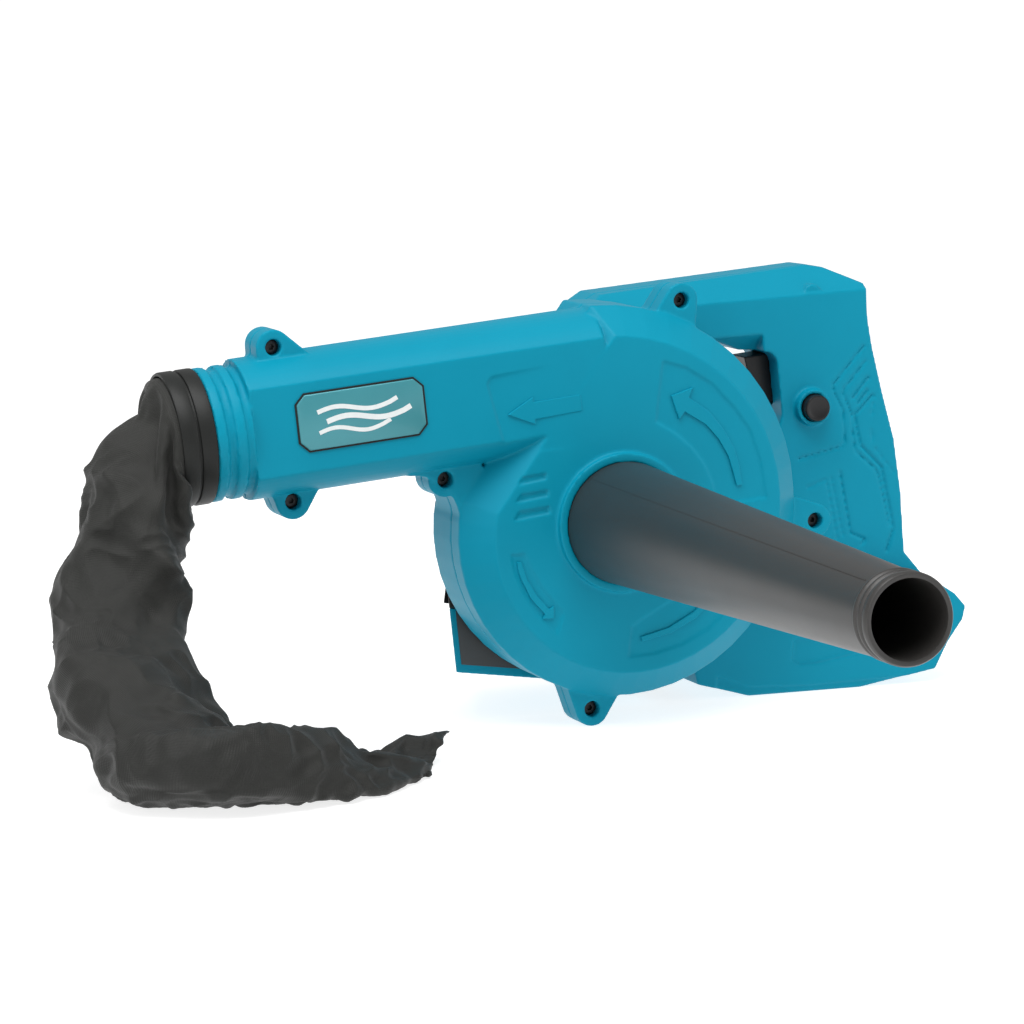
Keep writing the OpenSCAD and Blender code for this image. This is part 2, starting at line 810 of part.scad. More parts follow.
// The pack between two heights with its walls moved in by inset; its latch end slopes back in
// plan and stands square to the duct, not to the pack
module pack_prism(inset, z0, z1) {
    reach = 2 * pack_len;
    intersection() {
        translate([-pack_len, pack_y0 + inset, z0])
            cube([2 * pack_len - inset, pack_w - 2 * inset, z1 - z0]);
        translate([inset / cos(pack_slant), pack_y0, 0]) rotate([0, -pack_tilt, 0])
            rotate([0, 0, -pack_slant]) translate([0, -reach, -reach]) cube(2 * reach);
    }
}

case_wall = 2;
latch_w = 44;
latch_y0 = pack_mid - latch_w / 2;
latch_t = 14;
latch_h = 8;

// The latch's plan: a bar along the sloping end, standing proud of it by its lip
module latch_plan(grow) {
    slope = tan(pack_slant);
    x0 = (latch_y0 - pack_y0) * slope;
    x1 = x0 + latch_w * slope;
    offset(delta = grow) polygon([[x0 - 1, latch_y0], [x0 + latch_t, latch_y0],
        [x1 + latch_t, latch_y0 + latch_w], [x1 - 1, latch_y0 + latch_w]]);
}

BATTERY_SCREWS = [for (x = [36, pack_len - 6.5]) for (y = [pack_y0 + 5.5, pack_y1 - 5.5]) [x, y]];
battery_boss_r = 4;
battery_screw_r = 1.5;
battery_head_h = 2.4;
shelf_z = -cover_h - 4.5;

module at_battery_screws(z) {
    for (p = BATTERY_SCREWS) translate([p.x, p.y, z]) children();
}

module battery_case() {
    color([0.05, 0.45, 0.55]) stand() in_pack() difference() {
        union() {
            difference() {
                pack_prism(0, -pack_h, -cover_h);
                pack_prism(case_wall, -pack_h + case_wall, -cover_h + 1);
            }
            intersection() {
                pack_prism(1, shelf_z - 1.5, shelf_z);
                translate([0, latch_y0, -pack_h]) cube([30, latch_w, pack_h]);
            }
            at_battery_screws(-cover_h - 8) cylinder(r = battery_boss_r, h = 8);
        }
        translate([0, 0, -cover_h - latch_travel - slip_gap])
            linear_extrude(latch_travel + 2) latch_plan(slip_gap);
        at_battery_screws(-cover_h - 6) cylinder(r = battery_screw_r + run_gap, h = 7);
    }
}

module battery_cover() {
    color([0.13, 0.13, 0.13]) stand() in_pack() difference() {
        union() {
            difference() {
                pack_prism(0, -cover_h, 0);
                pack_prism(case_wall, -cover_h - 1, -case_wall);
            }
            at_battery_screws(-cover_h) cylinder(r = battery_boss_r, h = cover_h - 1);
        }
        translate([0, 0, -cover_h - 1]) linear_extrude(cover_h + 2) latch_plan(slip_gap);
        for (s = [-1, 1]) translate([pack_len - 30, pack_mid + s * contact_y - 1.5, -6.5])
            cube([32, 3, 8]);
        at_battery_screws(-cover_h - 1) cylinder(r = battery_screw_r + run_gap, h = cover_h + 2);
        at_battery_screws(-battery_head_h - 0.2) cylinder(r = 3.1, h = 5);
    }
}

module battery_cells() {
    cells = 4;
    cell_len = 63;
    cell_gap = 0.6;
    pitch = 2 * cell_r + cell_gap;
    color([0.15, 0.3, 0.6]) stand() in_pack() for (k = [0:cells - 1])
        along_y(pack_len - case_wall - 1 - cell_r - k * pitch, -pack_h + case_wall + 1 + cell_r,
            pack_mid - cell_len / 2) cylinder(r = cell_r, h = cell_len);
}

module battery_contacts() {
    color([0.75, 0.6, 0.3]) stand() in_pack() for (s = [-1, 1])
        translate([pack_len - 28, pack_mid + s * contact_y + 0.75, -8]) cube([16, 0.8, 5.8]);
}

module battery_latch() {
    color([0.08, 0.08, 0.08]) stand() in_pack()
        translate([0, 0, -cover_h + 0.5]) linear_extrude(latch_h) latch_plan(0);
}

module latch_spring() {
    color("silver") stand() in_pack()
        translate([(pack_mid - pack_y0) * tan(pack_slant) + 9.5, pack_mid, shelf_z])
            coil(2.6, 0.4, 3, 5);
}

module battery_label() {
    label_t = 0.3;
    z0 = -pack_h + 4;
    z1 = -cover_h - 1;
    left = 3;
    right = pack_len - 13;
    color([0.18, 0.18, 0.18]) stand() in_pack() slab(pack_y0 - label_t, pack_y0)
        polygon([[left - z0 * tan(pack_tilt), z0], [right, z0], [right, z1],
            [left - z1 * tan(pack_tilt), z1]]);
}

// Fasteners ---------------------------------------------------------------------------------

module screw(head_h, length) {
    cylinder(r = head_r, h = head_h);
    translate([0, 0, head_h]) cylinder(r = screw_r, h = length);
}

module shell_screws() {
    head_h = 2.6;
    color([0.1, 0.1, 0.1]) stand() at_lugs(counterbore_y - head_h) screw(head_h, 10);
}

module grip_screws() {
    head_h = 2.6;
    color([0.1, 0.1, 0.1]) stand() for (p = GRIP_SCREWS)
        along_y(p.x, p.y, grip_y1 - 5 + head_h) rotate([180, 0, 0]) screw(head_h, 23);
}

module battery_screws() {
    color([0.2, 0.2, 0.2]) stand() in_pack() {
        at_battery_screws(-battery_head_h - 0.2) cylinder(r = 2.8, h = battery_head_h);
        at_battery_screws(-battery_head_h - 0.2 - 11) cylinder(r = battery_screw_r, h = 11.5);
    }
}

front_shell();
rear_shell();
grip_front_shell();
grip_back_shell();
nozzle();
badge_plate();
bag_collar();
dust_bag();
fan_wheel();
wheel_washer();
wheel_nut();
motor_shaft();
armature();
commutator();
front_bearing();
rear_bearing();
motor_can();
motor_magnets();
motor_end_cap();
motor_brushes();
motor_screws();
switch_body();
trigger();
trigger_spring();
lock_button();
lock_spring();
control_board();
terminal_block();
battery_leads();
motor_leads();
battery_case();
battery_cover();
battery_cells();
battery_contacts();
battery_latch();
latch_spring();
battery_label();
shell_screws();
grip_screws();
battery_screws();
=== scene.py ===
import json
import math
import bpy
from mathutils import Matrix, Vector, noise


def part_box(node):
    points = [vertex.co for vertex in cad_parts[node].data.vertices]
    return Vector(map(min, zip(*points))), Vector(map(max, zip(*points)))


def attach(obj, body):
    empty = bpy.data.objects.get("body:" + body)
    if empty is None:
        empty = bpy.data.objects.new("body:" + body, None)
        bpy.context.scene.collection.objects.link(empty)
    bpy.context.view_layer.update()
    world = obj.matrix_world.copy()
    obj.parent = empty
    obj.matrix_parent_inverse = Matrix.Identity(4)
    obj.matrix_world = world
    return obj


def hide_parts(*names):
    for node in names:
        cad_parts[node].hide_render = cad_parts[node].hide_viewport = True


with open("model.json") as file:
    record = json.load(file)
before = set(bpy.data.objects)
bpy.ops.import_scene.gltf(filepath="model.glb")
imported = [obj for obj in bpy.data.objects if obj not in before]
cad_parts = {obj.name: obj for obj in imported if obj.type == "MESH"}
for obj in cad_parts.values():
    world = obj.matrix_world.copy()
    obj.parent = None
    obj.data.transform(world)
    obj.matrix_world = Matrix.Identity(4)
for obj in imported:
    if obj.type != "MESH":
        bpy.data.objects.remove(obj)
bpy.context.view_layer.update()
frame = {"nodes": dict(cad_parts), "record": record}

# Camera ------------------------------------------------------------------------------------
# A long lens, low and to the left of the nozzle, a little above the height of the handle.

bpy.ops.object.camera_add(location=(-0.7948, -1.8518, 0.3564),
                          rotation=[math.radians(a) for a in (82.309, 0.839, -19.699)])
camera = bpy.context.object
camera.data.lens = 146.5
camera.data.sensor_width = 36
camera.data.clip_start, camera.data.clip_end = 0.05, 200
bpy.context.scene.camera = camera

# Floor and light ---------------------------------------------------------------------------
# A wide white table under three soft boxes, in a pale room.

bpy.ops.mesh.primitive_circle_add(vertices=96, radius=60, fill_type="NGON")
floor = bpy.context.object
floor.name = "floor"


def soft_box(place, aim, size, watts):
    """A square lamp that stands at a place and looks at a point."""
    bpy.ops.object.light_add(type="AREA", location=place)
    lamp = bpy.context.object
    lamp.data.shape = "RECTANGLE"
    lamp.data.size, lamp.data.size_y = size
    lamp.data.energy = watts
    lamp.rotation_euler = (Vector(aim) - Vector(place)).to_track_quat("-Z", "Y").to_euler()
    return lamp


soft_box((-0.5, -0.6, 1.7), (-0.1, 0, 0.1), (1.6, 1.2), 33)
soft_box((-1.9, -0.7, 0.9), (-0.1, 0, 0.1), (0.7, 1.3), 7)
soft_box((1.4, -1.1, 0.7), (0, -0.1, 0.1), (0.7, 1.3), 6)

scene = bpy.context.scene
scene.world = bpy.data.worlds.new("room")
scene.world.use_nodes = True
scene.world.node_tree.nodes["Background"].inputs["Color"].default_value = (1, 1, 1, 1)
scene.world.node_tree.nodes["Background"].inputs["Strength"].default_value = 0.46
scene.view_settings.view_transform = "Standard"

# Finishes ----------------------------------------------------------------------------------
# How a material is mixed: values that can be added and multiplied, and one way to add a node.


class Wire:
    """A value in a material. Sums and products of wires add their own Math nodes."""

    def __init__(self, finish, socket):
        self.finish, self.socket = finish, socket

    def sum(self, operation, first, second):
        return self.finish.node("Math", {"operation": operation}, {0: first, 1: second})

    def __add__(self, other):
        return self.sum("ADD", self, other)

    def __sub__(self, other):
        return self.sum("SUBTRACT", self, other)

    def __rsub__(self, other):
        return self.sum("SUBTRACT", other, self)

    def __mul__(self, other):
        return self.sum("MULTIPLY", self, other)

    __radd__ = __add__
    __rmul__ = __mul__


class Finish:
    """One material, on the Principled shader, whose steady values are set on its own sockets."""

    def __init__(self, name, **steady):
        self.material = bpy.data.materials.new(name)
        self.material.use_nodes = True
        self.tree = self.material.node_tree
        self.shader = self.tree.nodes["Principled BSDF"]
        for socket, value in steady.items():
            self.shader.inputs[socket.replace("_", " ")].default_value = value

    def node(self, kind, settings=None, sockets=None, output=0):
        made = self.tree.nodes.new("ShaderNode" + kind)
        for name, value in (settings or {}).items():
            if name == "stops":
                made.color_ramp.elements[0].position, made.color_ramp.elements[0].color = value[0]
                made.color_ramp.elements[1].position, made.color_ramp.elements[1].color = value[-1]
                for place, colour in value[1:-1]:
                    made.color_ramp.elements.new(place).color = colour
            else:
                setattr(made, name, value)
        for name, value in (sockets or {}).items():
            if isinstance(value, Wire):
                self.tree.links.new(value.socket, made.inputs[name])
            else:
                made.inputs[name].default_value = value
        return Wire(self, made.outputs[output])

    def place(self, scale=(1, 1, 1)):
        point = self.node("TexCoord", output="Object")
        return self.node("Mapping", None, {"Vector": point, "Scale": scale})

    def noise(self, scale, detail=3, stretch=(1, 1, 1)):
        return self.node("TexNoise", None, {"Vector": self.place(stretch), "Scale": scale,
                                            "Detail": detail, "Roughness": 0.55})

    def ramp(self, factor, *stops):
        return self.node("ValToRGB", {"stops": [(p, (*c, 1)) for p, c in stops]}, {0: factor})

    def blend(self, factor, first, second):
        ends = {6: first if isinstance(first, Wire) else (*first, 1),
                7: second if isinstance(second, Wire) else (*second, 1)}
        return self.node("Mix", {"data_type": "RGBA"}, {0: factor, **ends}, output=2)

    def surface(self, colour=None, rough=None, bump=None, strength=0.3, depth=0.0002):
        for socket, value in (("Base Color", colour), ("Roughness", rough)):
            if isinstance(value, Wire):
                self.tree.links.new(value.socket, self.shader.inputs[socket])
            elif value is not None:
                self.shader.inputs[socket].default_value = value
        if bump is not None:
            made = self.node("Bump", None, {"Height": bump, "Strength": strength,
                                            "Distance": depth})
            self.tree.links.new(made.socket, self.shader.inputs["Normal"])
        return self.material


def moulded_plastic(name, dark, light, rough, shine=0.14, grain=2600, strength=0.18):
    """Moulded plastic: spark-eroded grain, faint flow marks and slightly rubbed patches."""
    mix = Finish(name, Specular_IOR_Level=shine)
    flow = mix.noise(14, 4, (1, 1, 0.4))
    rub = mix.noise(55, 5)
    colour = mix.blend(flow * 0.7 + rub * 0.3, dark, light)
    pits = mix.noise(grain, 2)
    return mix.surface(colour, rub * 0.14 + flow * 0.1 + rough, pits, strength, 0.00012)


table = Finish("table_top", Emission_Color=(1, 1, 1, 1), Emission_Strength=0.8)
floor.data.materials.append(table.surface(
    table.ramp(table.noise(3), (0.3, (0.44, 0.44, 0.44)), (0.7, (0.48, 0.48, 0.48))), 0.6))

teal = moulded_plastic("teal_plastic", (0.001, 0.21, 0.315), (0.002, 0.255, 0.375), 0.3, 0.1)
black = moulded_plastic("black_plastic", (0.008, 0.009, 0.0085), (0.016, 0.017, 0.016), 0.32, 0.22)
button_black = moulded_plastic("button_plastic", (0.006, 0.006, 0.007), (0.014, 0.014, 0.015),
                               0.2, 0.3, 1800, 0.1)

# How pieces are shaped ---------------------------------------------------------------------
# Places are given from the fan's axis, in millimetres: x along the outlet duct towards the
# handle, y back from the inlet ring, z up from the duct's side.

joints = {j["name"]: j for j in frame["record"]["behaviour"]["joints"]}
FAN = Vector(joints["rotor_spin"]["pos_m"])
ALONG = Vector(joints["trigger_pull"]["axis"])
BACK = Vector((0, 1, 0))
UP = ALONG.cross(BACK)


def at(x, y, z):
    return FAN + (ALONG * x + BACK * y + UP * z) / 1000


def only(piece):
    bpy.ops.object.select_all(action="DESELECT")
    piece.select_set(True)
    bpy.context.view_layer.objects.active = piece
    return piece


def edit(piece, *steps):
    """Runs steps in edit mode with the whole piece selected."""
    only(piece)
    bpy.ops.object.mode_set(mode="EDIT")
    bpy.ops.mesh.select_all(action="SELECT")
    for step in steps:
        step()
    bpy.ops.object.mode_set(mode="OBJECT")
    return piece


def outwards():
    bpy.ops.mesh.select_all(action="SELECT")
    bpy.ops.mesh.normals_make_consistent(inside=False)


def apply(piece, kind, **settings):
    modifier = piece.modifiers.new(kind.lower(), kind)
    for name, value in settings.items():
        setattr(modifier, name, value)
    only(piece)
    bpy.ops.object.modifier_apply(modifier=modifier.name)
    return piece


def smooth(piece, degrees=35):
    only(piece)
    bpy.ops.object.shade_smooth_by_angle(angle=math.radians(degrees))
    return piece


def finish_piece(piece, material, body, slot, *nodes):
    """Gives a piece its material and its body, and hides the nodes that it stands for; its slot is
    not used.
    """
    piece.data.materials.clear()
    piece.data.materials.append(material)
    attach(piece, body)
    if nodes:
        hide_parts(*nodes)
    return piece


def plate(name, outline, y0, y1):
    """A plate with that outline, from depth y0 to depth y1."""
    bpy.ops.object.select_all(action="DESELECT")
    bpy.ops.mesh.primitive_circle_add(vertices=len(outline), fill_type="NGON")
    piece = bpy.context.object
    piece.name = name
    for vertex, (x, z) in zip(piece.data.vertices, outline):
        vertex.co = at(x, y0, z)
    extrude = {"value": BACK * (y1 - y0) / 1000}
    return edit(piece, lambda: bpy.ops.mesh.extrude_region_move(TRANSFORM_OT_translate=extrude),
                outwards)


def stroke(points, width):
    """The outline of a line of that width through points, its corners mitred."""
    left, right = [], []
    for i, p in enumerate(points):
        before, after = points[max(i - 1, 0)], points[min(i + 1, len(points) - 1)]
        d1 = Vector((p[0] - before[0], p[1] - before[1])) if i else None
        d2 = Vector((after[0] - p[0], after[1] - p[1])) if i < len(points) - 1 else None
        d1, d2 = (d1 or d2).normalized(), (d2 or d1).normalized()
        across = Vector((-(d1 + d2).y, (d1 + d2).x)).normalized()
        reach = width / 2 / max(across.dot(Vector((-d1.y, d1.x))), 0.5)
        left.append((p[0] + across.x * reach, p[1] + across.y * reach))
        right.append((p[0] - across.x * reach, p[1] - across.y * reach))
    return left + right[::-1]


def remove(piece):
    bpy.data.objects.remove(piece, do_unlink=True)


def moulding(name, node, voxel, cuts=(), adds=(), ratio=0.5, softness=3):
    """A moulded shell: the node's walls with details cut in and raised, then every edge softened
    as a mould leaves it."""
    piece = frame["nodes"][node].copy()
    piece.data = piece.data.copy()
    bpy.context.collection.objects.link(piece)
    piece.name = name
    piece.parent = None
    piece.matrix_world.identity()
    edit(piece, lambda: bpy.ops.mesh.remove_doubles(threshold=0.00001))
    for tool in cuts:
        apply(piece, "BOOLEAN", operation="DIFFERENCE", solver="EXACT", object=tool)
        remove(tool)
    for part in adds:
        only(piece)
        part.select_set(True)
        bpy.ops.object.join()
    apply(piece, "REMESH", mode="VOXEL", voxel_size=voxel * 1 / 1000)
    apply(piece, "SMOOTH", factor=0.5, iterations=softness)
    apply(piece, "DECIMATE", ratio=ratio)
    return smooth(piece, 50)


# Front shell -------------------------------------------------------------------------------
# The front half of the fan housing and duct, one teal moulding with the inlet ring, two ribs
# and six screw lugs. Arrows stand raised in shallow recesses on its face.

ARROW = [(-49.9, 57.2), (-37.3, 63.6), (-37.3, 61.2), (-14.4, 61.4), (-14.4, 53.8), (-37.3, 53.3),
         (-37.3, 50.9)]
CURVED_ARROW = [(29.3, 54.3), (40.4, 56.6), (37.9, 52.3), (47.1, 44.5), (53.0, 35.6),
                (57.7, 25.8), (59.3, 17.0), (59.9, 8.3), (57.0, 8.2), (56.0, 14.3), (54.4, 22.4),
                (50.3, 31.2), (44.9, 38.6), (35.2, 46.0), (32.1, 42.7)]
SECTOR = [(26.8, 71.1), (38.2, 66.3), (49.8, 57.4), (59.9, 44.7), (66.8, 33.0), (70.6, 17.2),
          (71.6, -0.1), (46.0, 0.6), (45.3, 11.0), (42.0, 20.5), (36.7, 29.0), (29.4, 36.7),
          (20.4, 43.3)]
SIDE_ARROW = [(-53.2, -10.1), (-52.9, -14.6), (-52.2, -17.9), (-48.3, -28.1), (-42.5, -36.0),
              (-43.8, -37.9), (-38.3, -38.8), (-37.6, -33.0), (-40.2, -34.0), (-45.4, -26.6),
              (-49.3, -18.4), (-51.0, -10.3)]
SIDE_RECESS = [(-55.7, -6.3), (-55.2, -14.3), (-52.1, -24.4), (-46.6, -35.2), (-37.3, -46.6),
               (-32.9, -37.1), (-35.4, -33.6), (-40.2, -26.9), (-44.4, -19.0), (-47.5, -12.0),
               (-48.9, -6.6)]
LOW_ARROW = [(2.8, -54.0), (3.1, -56.4), (17.2, -54.9), (30.7, -49.8), (41.6, -41.5),
             (43.6, -43.6), (45.4, -37.2), (38.6, -37.6), (40.4, -39.4), (29.5, -46.8),
             (16.6, -52.0)]
LOW_RECESS = [(-1.3, -48.3), (-4.6, -62.8), (8.4, -63.4), (22.4, -61.4), (36.7, -56.2),
              (50.4, -46.3), (44.0, -34.0), (37.0, -32.0)]
FADING_RECESS = [(-55.9, 75.5), (-20.3, 76.8), (-16.7, 38.3), (-47.9, 38.3), (-51.6, 40.2),
                 (-53.7, 45.8), (-56.4, 60.9), (-58.4, 72.7)]
SLOTS = [[(-46.3, 28.1), (-34.6, 28.3), (-34.6, 25.1), (-49.5, 24.2)],
         [(-47.7, 20.4), (-34.6, 20.5), (-34.6, 17.2), (-51.5, 16.5)],
         [(-49.4, 12.9), (-34.6, 12.8), (-34.5, 9.3), (-52.9, 8.6)]]
FACE = 3.0
RECESS = 0.7


def raised(name, outline):
    """A flat raised shape on the face, its front edge bevelled."""
    piece = plate(name, outline, FACE - 0.35, FACE + 1.2)
    return apply(piece, "BEVEL", width=0.0003, segments=2, limit_method="ANGLE")


cuts = [plate("recess", shape, FACE - 4, FACE + RECESS)
        for shape in (SECTOR, SIDE_RECESS, LOW_RECESS)]
cuts += [plate("slot", shape, FACE - 4, FACE + 1.1) for shape in SLOTS]
fading = plate("recess", FADING_RECESS, FACE - 4, FACE + 0.9)
for vertex in fading.data.vertices:
    if vertex.co.y > at(0, FACE, 0).y:
        reach = (vertex.co - FAN).dot(ALONG) * 1000
        vertex.co.y -= 0.001 * max(0, min(1, (reach + 56) / 38))
cuts.append(fading)
cover = moulding("front_cover", "front_shell", 0.72, cuts, ratio=0.36)
finish_piece(cover, teal, "tool", "housing_plastic", "front_shell")
for name, shape in (("straight_arrow", ARROW), ("upper_arrow", CURVED_ARROW),
                    ("left_arrow", SIDE_ARROW), ("lower_arrow", LOW_ARROW)):
    finish_piece(raised(name, shape), teal, "tool", "housing_plastic")

# Rear shell --------------------------------------------------------------------------------
# The back half of the housing and duct, moulded to match and screwed to the front one.

finish_piece(moulding("rear_cover", "rear_shell", 0.85, ratio=0.45), teal, "tool",
             "housing_plastic", "rear_shell")

# Handle shells -----------------------------------------------------------------------------
# Two teal mouldings screwed together round the switch and the motor. The front one has panel
# lines sunk in it behind the finger gap and a panel in the foot.

GRIP_FACE = 72
GROOVES = [
    (1.1, [(158.4, 53.8), (139.7, 36.7), (140.0, 33.0), (143.7, 22.9), (143.2, 8.3), (141, 6.5),
           (117.7, 3.7)]),
    (1.1, [(158.5, 46.4), (145.3, 33.7), (144.6, 31.6), (148.0, 20.8), (147.7, 13.5),
           (148.1, 2.9), (157.9, -7.2), (159.4, -11.8), (162.7, -36.8)]),
    (1.3, [(160.3, 29.3), (149.6, 20.6), (149.7, 17.6), (151.2, 5.6), (161.2, -6.9),
           (164.5, -37.9), (159.4, -48.9)]),
    (1.4, [(149.0, 28.6), (157.6, 37.2), (159.6, 37.6)]),
    (1.4, [(151.4, 25.6), (158.0, 32.2)]),
    (0.8, [(161.8, 31.3), (158.0, 17.9), (157.5, 4.7), (167.9, -11.4)]),
    (0.9, [(121.0, -11.1), (131.5, -8.3), (134.6, -40.0)]),
    (0.9, [(134.0, -7.2), (137.6, -38.0)]),
    (1.2, [(139.0, -5.0), (141.7, -36.5), (149.0, -40.6), (146.4, -43.1)])]


FOOT_FACE = 59
FOOT_PANEL = [(101.1, -80.5), (99.2, -90.5), (103, -93.3), (111.5, -94.1), (150, -92), (168, -88),
              (173, -80), (171, -76)]
FOOT_LIP = [(60, -91.2), (76.4, -99.2), (107.4, -103.8), (138.9, -106.2), (176, -109.4),
            (176, -118), (56, -118)]

grip_cuts = [plate("groove", stroke(points, width * 1.35), GRIP_FACE - 3, GRIP_FACE + 1.2)
             for width, points in GROOVES]
grip_cuts += [plate("foot_panel", FOOT_PANEL, FOOT_FACE - 3, FOOT_FACE + 1.3),
              plate("foot_lip", FOOT_LIP, FOOT_FACE - 3, FOOT_FACE + 1.1)]
grip_front = moulding("handle_front", "grip_front_shell", 0.72, grip_cuts, ratio=0.42)
finish_piece(grip_front, teal, "tool", "housing_plastic", "grip_front_shell")
finish_piece(moulding("handle_back", "grip_back_shell", 0.85, ratio=0.45), teal, "tool",
             "housing_plastic", "grip_back_shell")

# Battery case ------------------------------------------------------------------------------
# A slide-in pack: teal lower case, black cover with the rails' face and the contact slots.

finish_piece(moulding("pack_case", "battery_case", 0.6, ratio=0.4, softness=4), teal, "battery",
             "housing_plastic", "battery_case")
finish_piece(moulding("pack_cover", "battery_cover", 0.6, ratio=0.4), black, "battery",
             "black_plastic", "battery_cover")

# Nozzle ------------------------------------------------------------------------------------
# A long tapered tube of black plastic, blow-moulded, with two beads behind its lip and a mould
# seam along it. Its spigot pushes into the ring on the fan housing.

NOZZLE = [(25.9, 13), (27.7, 13), (27.7, 1.2), (27.7, 0), (28.1, -0.3), (28.15, -1),
          (18.25, -289.6), (18.35, -290.6), (18.75, -291.1), (18.95, -292), (18.75, -293),
          (18.3, -293.5), (17.9, -294.2), (18.3, -294.9), (18.7, -295.3), (18.95, -296.3),
          (18.7, -297.3), (18.2, -297.8), (17.9, -298.5), (18.2, -299.2), (18.7, -299.7),
          (18.95, -301), (18.9, -302.9), (18.3, -303.9), (17.3, -304), (16.5, -303.7),
          (16.2, -303), (16.2, -282), (25.9, 0)]


def lathe(name, profile, x, z, steps=96, along=None):
    """A turned piece: a closed profile of (radius, depth) spun round an axis through (x, z)."""
    bpy.ops.object.select_all(action="DESELECT")
    bpy.ops.mesh.primitive_circle_add(vertices=len(profile), fill_type="NOTHING")
    piece = bpy.context.object
    piece.name = name
    axis = BACK if along is None else ALONG
    for vertex, (radius, depth) in zip(piece.data.vertices, profile):
        vertex.co = at(x + radius, depth, z) if along is None else at(depth, x, z + radius)
    centre = at(x, 0, z) if along is None else at(0, x, z)
    return edit(piece, lambda: bpy.ops.mesh.spin(steps=steps, angle=math.tau, center=centre,
                                                 axis=axis),
                lambda: bpy.ops.mesh.select_all(action="SELECT"),
                lambda: bpy.ops.mesh.remove_doubles(threshold=0.000002), outwards)


tube = Finish("tube_plastic", Specular_IOR_Level=0.5)
streaks = tube.noise(60, 4, (1, 0.05, 1))
cloud = tube.noise(18, 3)
tube_black = tube.surface(
    tube.blend(streaks, (0.02, 0.019, 0.018), (0.034, 0.032, 0.03)),
    streaks * 0.12 + cloud * 0.1 + 0.3, tube.noise(2200, 2) + streaks * 0.4, 0.22, 0.00012)
nozzle = smooth(lathe("nozzle_tube", NOZZLE, 0, 0), 40)
finish_piece(nozzle, tube_black, "nozzle_body", "black_plastic", "nozzle")

SEAM = math.radians(124)
seam = plate("nozzle_seam", stroke([(0, 0), (0.01, 0)], 0.01), 0, 1)
seam_ends = [(28.05, -2), (18.35, -288)]
for vertex, (k, side, lift) in zip(seam.data.vertices, [(k, s, h) for h in (-0.25, 0.14)
                                                        for k, s in ((0, 1), (1, 1), (1, -1),
                                                                     (0, -1))]):
    radius, depth = seam_ends[k]
    turn = SEAM + side * 0.22 / radius
    vertex.co = at((radius + lift) * math.cos(turn), depth, (radius + lift) * math.sin(turn))
edit(seam, outwards)
finish_piece(seam, tube_black, "nozzle_body", "black_plastic")

# Bag collar --------------------------------------------------------------------------------
# Two black moulded bands that clamp the bag's neck over the outlet spout.

collar_low, collar_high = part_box("bag_collar")
COLLAR = [(28.9, -187.0), (29.9, -186.8), (30.5, -187.4), (30.6, -188.2), (30.6, -193.2),
          (30.3, -193.9), (29.5, -194.2), (29.5, -195.0), (30.3, -195.3), (30.6, -196.0),
          (30.6, -201.6), (30.2, -202.5), (29.2, -202.7), (28.85, -202.4)]
collar = smooth(lathe("neck_clamp", COLLAR, 28, 65.5, along=True), 30)
finish_piece(collar, black, "bag", "black_plastic", "bag_collar")

# Dust bag ----------------------------------------------------------------------------------
# A long bag of thin charcoal cloth. It hangs from the clamp, turns on the floor, lies forward
# and then back under the nozzle, and is closed at its end.

ROUTE = [(-224, 27, 136, 28, 27), (-240, 20, 121, 25, 24), (-249, 8, 97, 23, 21),
         (-254, -12, 68, 23, 21), (-256, -42, 48, 27, 27), (-249, -72, 34, 28, 29),
         (-235, -95, 27, 29, 26), (-214, -103, 22, 30, 25), (-189, -96, 20, 30, 24),
         (-163, -76, 17, 29, 19), (-139, -47, 11, 28, 11), (-117, -16, 4, 26, 1.5)]
NECK = (-205.9, 28, 142.4, 28.8, 28.8)
RINGS, SIDES = 120, 48


def bag_point(x, y, z):
    return Vector((FAN.x + x / 1000, FAN.y + y / 1000, z / 1000))


def between(stations, t):
    """The route and its width at t, from 0 to 1, on a smooth curve through the stations."""
    place = t * (len(stations) - 1)
    i = min(int(place), len(stations) - 2)
    f = place - i
    p = [Vector(stations[min(max(i + k, 0), len(stations) - 1)]) for k in (-1, 0, 1, 2)]
    return [0.5 * (2 * b + (c - a) * f + (2 * a - 5 * b + 4 * c - d) * f * f
                   + (3 * b - a - 3 * c + d) * f ** 3) for a, b, c, d in zip(*p)]


def panels(turn, run, columns, row, seed):
    """Height of a tube pleated into flat three-cornered panels, at an angle and a length."""
    u, v = (turn / math.tau + run * 1.3) * columns, run / row
    i, j = math.floor(u), math.floor(v)
    f, g = u - i, v - j
    a, b, c, d = [noise.cell(Vector((((i + p) % columns) + 0.5, j + q + 0.5, seed)))
                  for p, q in ((0, 0), (1, 0), (0, 1), (1, 1))]
    if f + g < 1:
        return a + f * (b - a) + g * (c - a)
    return d + (1 - f) * (c - d) + (1 - g) * (b - d)


